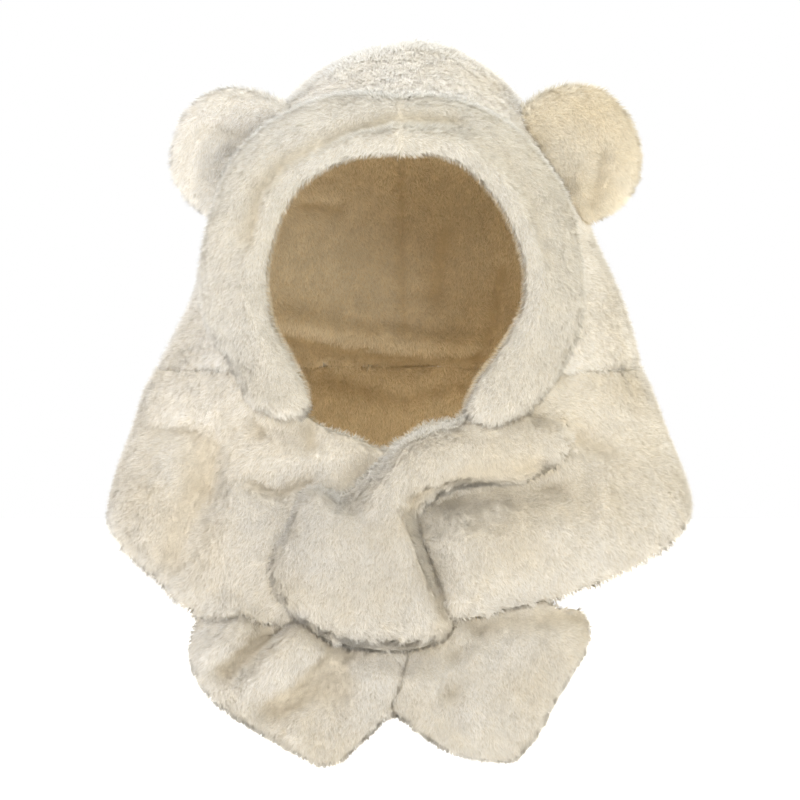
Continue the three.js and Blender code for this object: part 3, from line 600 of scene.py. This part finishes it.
def comb_direction(node, points, normals, seed):
    """The way that the pile lies at each point.

    It lies away from the crown and down, and round the brim, with swirls and clumps.
    """
    flow = waves(points, SWIRL_SCALE, seed, 3) * SWIRL_PULL
    flow += waves(points, CLUMP_SCALE, seed + CLUMP_SEED_STEP, 3) * CLUMP_PULL
    flow += unit(points * [1, 1, 0]) * AWAY_PULL + np.array(DOWN_PULL)
    if node == "brim_cuff":
        from_middle = points[:, [0, 2]] - [MIDDLE, RING_MIDDLE]
        side = from_middle[:, 0] / (np.abs(from_middle[:, 0]) + PARTING)
        round_it = np.stack([from_middle[:, 1] * side, 0 * side, -from_middle[:, 0] * side], axis=1)
        flow += unit(round_it) * RING_PULL
    flow -= normals * np.sum(flow * normals, axis=1, keepdims=True)
    return unit(flow)


def describe(number, node, d, creased, others):
    """Adds to a cloth's data what its colour and its pile go by at each point."""
    points, normals = d["points"], d["normals"]
    tree = search_tree([(other["points"], other["tris"]) for other in others])
    d["free"] = free_distance(points, normals, tree)
    close = np.clip(d["free"] / FREE_REACH, 0, 1)
    d["long"] = np.maximum(close, FREE_LEAST) * (1 - CREASE_PILE * creased)
    # painted shade: towards the root colour in creases and where the next piece is close
    d["light"] = (1 - CREASE_DARK * creased) * (CLOSE_LIGHT + (1 - CLOSE_LIGHT) * close)
    seed = SEEDS_PER_PIECE * number
    d["shade"] = np.clip(0.5 + 0.5 * waves(points, CLUMP_SCALE, seed + SHADE_SEED)[:, 0], 0, 1)
    d["comb"] = comb_direction(node, points, normals, seed + COMB_SEED)
    # where the tan painted shade of the hollow goes, and how far painted light pales it
    d["inside"] = np.maximum(inside_share(node, points, normals), lip_shade_share(node, points, normals))
    d["pale"] = painted_light_inside(points)


def share_pile(row, d):
    """How much pile each triangle of a cloth takes, and which triangles each part of it covers."""
    a, b, c = (d["points"][d["tris"][:, k]] for k in range(3))
    middle = (a + b + c) / 3
    inner = d["inside"][d["tris"]].mean(axis=1) * (row["node"] in SHELLS)
    front = smoothstep(-middle[:, 1], *FRONT_LIES)
    left, right, low, high = OPENING
    shown = (middle[:, 0] > left) & (middle[:, 0] < right) & (middle[:, 1] > 0)
    shown &= (middle[:, 2] > low) & (middle[:, 2] < high)
    share = (BACK_SHARE + (FRONT_SHARE - BACK_SHARE) * front) * (1 - inner)
    share += np.where(shown, SEEN_INSIDE_SHARE, INSIDE_SHARE) * inner
    share[d["free"][d["tris"]].mean(axis=1) < HIDDEN_NEAR * FREE_REACH] = HIDDEN_SHARE
    area = np.linalg.norm(np.cross(b - a, c - a), axis=1) / 2
    if row["node"] in SHELLS:
        outer = inner < MOSTLY
        parts = {"front": outer & (front > MOSTLY), "back": outer & (front <= MOSTLY), "inside": ~outer}
    else:
        parts = {"pile": np.ones(len(area), bool)}
    return area * share * row["share"], parts


def paint(mesh, columns):
    """Stores the four facts of each vertex as a colour."""
    layer = mesh.attributes.new(FACTS, "FLOAT_COLOR", "POINT")
    layer.data.foreach_set("color", np.stack(columns, axis=1).astype(np.float32).ravel())


def blade_mesh(name, roots, sides, tips, normals, tip_normals, light, facts):
    """One mesh of many thin blades, lit as the cloth under them is."""
    count = len(roots)
    corners = np.stack([roots - sides, roots + sides, tips], axis=1)
    turned = np.cross(corners[:, 1] - corners[:, 0], corners[:, 2] - corners[:, 0])
    flip = np.sum(turned * normals, axis=1) < 0
    corners[flip] = corners[flip][:, [1, 0, 2]]
    mesh = bpy.data.meshes.new(name)
    mesh.vertices.add(count * 3)
    mesh.loops.add(count * 3)
    mesh.polygons.add(count)
    mesh.vertices.foreach_set("co", corners.astype(np.float32).ravel())
    mesh.loops.foreach_set("vertex_index", np.arange(count * 3, dtype=np.int32))
    mesh.polygons.foreach_set("loop_start", np.arange(0, count * 3, 3, dtype=np.int32))
    mesh.polygons.foreach_set("use_smooth", np.ones(count, bool))
    mesh.update(calc_edges=True)
    shown = np.stack([normals, normals, tip_normals], axis=1).reshape(-1, 3).astype(np.float32)
    mesh.normals_split_custom_set_from_vertices(shown)
    # blades go from the root colour, painted shade, at the root to their light at the tip
    from_root = np.stack([0 * light, 0 * light, light], axis=1).ravel()
    paint(mesh, [from_root] + [np.repeat(fact, 3) for fact in facts])
    return mesh


def make_pile(name, d, chosen, count, length, seed):
    """Sows blades over the chosen triangles of a cloth, by their area and share."""
    draw = np.random.default_rng(PILE_SEEDS + seed)
    corner = d["tris"][chosen]
    weight = d["weight"][chosen]
    picked = draw.choice(len(corner), size=count, p=weight / weight.sum())
    u, v = draw.random(count), draw.random(count)
    over = u + v > 1
    u[over], v[over] = 1 - u[over], 1 - v[over]
    shares = np.stack([1 - u - v, u, v], axis=1)

    def spread(field):
        values = d[field][corner[picked]]
        if values.ndim == 2:
            return np.sum(values * shares, axis=1)
        return np.sum(values * shares[:, :, None], axis=1)

    place, normal, comb = spread("points"), unit(spread("normals")), unit(spread("comb"))
    across = np.cross(normal, comb)
    turn = draw.normal(0, COMB_SPREAD, count)[:, None]
    comb = unit(comb * np.cos(turn) + across * np.sin(turn))
    side = unit(np.cross(normal, comb))
    lean = (LEAN + draw.normal(0, LEAN_SPREAD, count))[:, None]
    long = length * MM * draw.uniform(*BLADE_LENGTHS, count) * spread("long")
    way = normal * np.cos(lean) + comb * np.sin(lean)
    tips = place + way * long[:, None]
    width = BLADE_WIDTH * draw.uniform(*BLADE_WIDTHS, count)[:, None] / 2
    tip_normal = unit(normal + way * TIP_TURN + draw.normal(0, TIP_SPREAD, (count, 3)))
    root_normal = unit(normal + draw.normal(0, ROOT_SPREAD, (count, 3)))
    facts = [draw.random(count), spread("inside"), spread("pale")]
    mesh = blade_mesh(name, place - normal * ROOT_DEPTH, side * width, tips, root_normal, tip_normal,
                      spread("light"), facts)
    return add_object(name, mesh)


class Nodes:
    """Adds shader nodes in few words."""

    def __init__(self, tree):
        self.tree = tree

    def add(self, kind, **values):
        node = self.tree.nodes.new(kind)
        for key, value in values.items():
            if hasattr(node, key):
                setattr(node, key, value)
            else:
                node.inputs[key.replace("_", " ")].default_value = value
        return node

    def link(self, start, end):
        self.tree.links.new(start, end)

    def mix(self, factor, first, second, blend="MIX"):
        node = self.add("ShaderNodeMix", data_type="RGBA", blend_type=blend)
        for number, value in ((MIX_FACTOR, factor), (MIX_FIRST, first), (MIX_SECOND, second)):
            socket = node.inputs[number]
            if isinstance(value, bpy.types.NodeSocket):
                self.link(value, socket)
            elif isinstance(value, tuple):
                socket.default_value = (*value, 1.0)
            else:
                socket.default_value = value
        return node.outputs[MIX_RESULT]

    def noise(self, scale, detail, coordinates):
        node = self.add("ShaderNodeTexNoise", Scale=scale, Detail=detail, Roughness=NOISE_ROUGHNESS)
        self.link(coordinates, node.inputs["Vector"])
        return node.outputs["Fac"]

    def span(self, value, low, high, to_low, to_high):
        node = self.add("ShaderNodeMapRange", From_Min=low, From_Max=high, To_Min=to_low, To_Max=to_high)
        self.link(value, node.inputs["Value"])
        return node.outputs["Result"]


def plush_colour(n, place, warmth, tint_low, tint_high):
    """Cream pile: darker and warmer at the root as painted shade deep in the pile, uneven over hands' and
    fingers' breadths, lighter towards the top as painted light, tan painted shade inside.
    """
    facts = n.add("ShaderNodeAttribute", attribute_name=FACTS, attribute_type="GEOMETRY")
    split = n.add("ShaderNodeSeparateColor")
    n.link(facts.outputs["Color"], split.inputs[0])
    tip, shade, inside = split.outputs[0], split.outputs[1], split.outputs[2]
    pale = facts.outputs["Alpha"]
    height = n.add("ShaderNodeSeparateXYZ")
    n.link(place, height.inputs[0])
    cream = n.mix(tip, CREAM_ROOT_SHADE, CREAM_TIP)
    broad = n.noise(*BROAD_NOISE, place)
    cream = n.mix(n.span(broad, *BROAD_RANGE, 0.0, warmth), cream, WARM, "MULTIPLY")
    # painted light by height: the tint passes from the one below to the one above
    tint = n.mix(n.span(height.outputs["Z"], *TINT_HEIGHTS, 0.0, 1.0), tint_low, tint_high)
    cream = n.mix(1.0, cream, tint, "MULTIPLY")
    # tan painted shade inside, turned pale by painted light in places
    tan = n.mix(tip, n.mix(pale, SHADE_TAN_ROOT, SHADE_TAN_TIP), n.mix(pale, SHADE_TAN_TIP, LIT_INSIDE_COLOUR))
    colour = n.mix(inside, cream, tan)
    clump = n.span(n.noise(*CLUMP_NOISE, place), *CLUMP_RANGE, *CLUMP_SHADES)
    speck = n.span(shade, 0.0, 1.0, *SPECK_SHADES)
    for factor in (clump, speck):
        grey = n.add("ShaderNodeCombineColor")
        for socket in grey.inputs[:3]:
            n.link(factor, socket)
        colour = n.mix(1.0, colour, grey.outputs[0], "MULTIPLY")
    return colour


def plush_normal(n, place):
    """A blade seen from behind is lit as the cloth under it is, not as its back."""
    surface = n.add("ShaderNodeNewGeometry")
    turned = n.add("ShaderNodeVectorMath", operation="SCALE")
    n.link(surface.outputs["Normal"], turned.inputs[0])
    n.link(n.span(surface.outputs["Backfacing"], 0.0, 1.0, 1.0, -1.0), turned.inputs["Scale"])
    bump = n.add("ShaderNodeBump", Strength=BUMP_STRENGTH, Distance=BUMP_DEPTH)
    n.link(n.noise(*CLOTH_NOISE, place), bump.inputs["Height"])
    n.link(turned.outputs[0], bump.inputs["Normal"])
    return bump.outputs[0]


def plush_material(name, warmth, tint_low, tint_high):
    """The material of cloth and pile."""
    material = bpy.data.materials.new(name)
    material.use_nodes = True
    tree = material.node_tree
    tree.nodes.clear()
    n = Nodes(tree)
    output = n.add("ShaderNodeOutputMaterial")
    shader = n.add("ShaderNodeBsdfPrincipled")
    n.link(shader.outputs[0], output.inputs["Surface"])
    place = n.add("ShaderNodeTexCoord").outputs["Object"]
    n.link(plush_colour(n, place, warmth, tint_low, tint_high), shader.inputs["Base Color"])
    set_sockets(shader, PLUSH_SHADER)
    n.link(plush_normal(n, place), shader.inputs["Normal"])
    return material


def make_camera():
    """Nearly level and from the front, with a long lens, as the photo is."""
    camera = add_object("camera", bpy.data.cameras.new("camera"))
    bpy.context.scene.camera = camera
    back = Vector((0, -math.cos(CAMERA_ELEVATION), math.sin(CAMERA_ELEVATION)))
    camera.location = Vector(CAMERA_TARGET) + back * CAMERA_DISTANCE
    look_along(camera, -back)
    camera.data.sensor_width = SENSOR_WIDTH
    camera.data.lens = SENSOR_WIDTH * CAMERA_DISTANCE / SEEN_WIDTH
    camera.data.clip_end = CLIP_END


def make_light(name, place, aim, size, power, colour):
    """A soft lamp. It is sampled by itself alone, so that both sides of a blade take the same light."""
    light = bpy.data.lights.new(name, "AREA")
    light.cycles.use_multiple_importance_sampling = False
    light.size = size
    light.energy = power
    light.color = colour
    lamp = add_object(name, light)
    lamp.location = place
    look_along(lamp, Vector(aim) - Vector(place))


def make_world():
    """A white studio: plain to the camera, softer as light."""
    world = bpy.data.worlds.new("studio")
    bpy.context.scene.world = world
    world.use_nodes = True
    tree = world.node_tree
    tree.nodes.clear()
    n = Nodes(tree)
    soft = n.add("ShaderNodeBackground", Color=STUDIO_LIGHT, Strength=STUDIO_STRENGTH)
    plain = n.add("ShaderNodeBackground", Color=WHITE, Strength=1.0)
    ray = n.add("ShaderNodeLightPath")
    both = n.add("ShaderNodeMixShader")
    n.link(ray.outputs["Is Camera Ray"], both.inputs[0])
    n.link(soft.outputs[0], both.inputs[1])
    n.link(plain.outputs[0], both.inputs[2])
    n.link(both.outputs[0], n.add("ShaderNodeOutputWorld").inputs["Surface"])


def make_floor():
    """A plain pale floor just under the part."""
    mesh = bpy.data.meshes.new("floor")
    half, level = FLOOR_HALF, cad_low.z - FLOOR_GAP
    corners = [(-half, -half, level), (half, -half, level), (half, half, level), (-half, half, level)]
    mesh.from_pydata(corners, [], [(0, 1, 2, 3)])
    floor = add_object("floor", mesh)
    material = bpy.data.materials.new("floor")
    material.use_nodes = True
    set_sockets(material.node_tree.nodes["Principled BSDF"], FLOOR_SHADER)
    mesh.materials.append(material)


def dress():
    """Makes the cloth and the pile of every piece."""
    materials = {row[0]: plush_material(*row) for row in PLUSHES}
    cloths, creased = make_cloths()
    data = [{"points": vertices(cloth.data), "normals": vertex_normals(cloth.data),
             "tris": triangles(cloth.data)} for cloth in cloths]
    jobs = []
    for number, (row, cloth, d) in enumerate(zip(PIECES, cloths, data)):
        node, slot = row["node"], row["slot"]
        cloth.data.materials.clear()
        cloth.data.materials.append(materials[slot])
        cloth.data.polygons.foreach_set("use_smooth", np.ones(len(cloth.data.polygons), bool))
        describe(number, node, d, creased[number], [other for other in data if other is not d])
        # the cloth's colour carries the painted shade of roots, creases and close pieces
        paint(cloth.data, [CLOTH_LIGHT * d["light"], d["shade"], d["inside"], d["pale"]])
        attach(cloth, SEAT)
        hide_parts(node)
        d["weight"], parts = share_pile(row, d)
        jobs += [(row, d, part, chosen, d["weight"][chosen].sum()) for part, chosen in parts.items()]
    whole = sum(job[-1] for job in jobs)
    for seed, (row, d, part, chosen, weight) in enumerate(jobs):
        slot = row["slot"]
        count = min(int(BLADE_TOTAL * weight / whole), BLADE_PIECE_MOST)
        pile = make_pile("%s_%s" % (row["node"], part), d, chosen, count, row["pile"], seed)
        pile.data.materials.append(materials[slot])
        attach(pile, SEAT)


make_camera()
make_world()
for lamp in LAMPS:
    make_light(*lamp)
make_floor()
dress()
bpy.context.scene.view_settings.view_transform = "Standard"
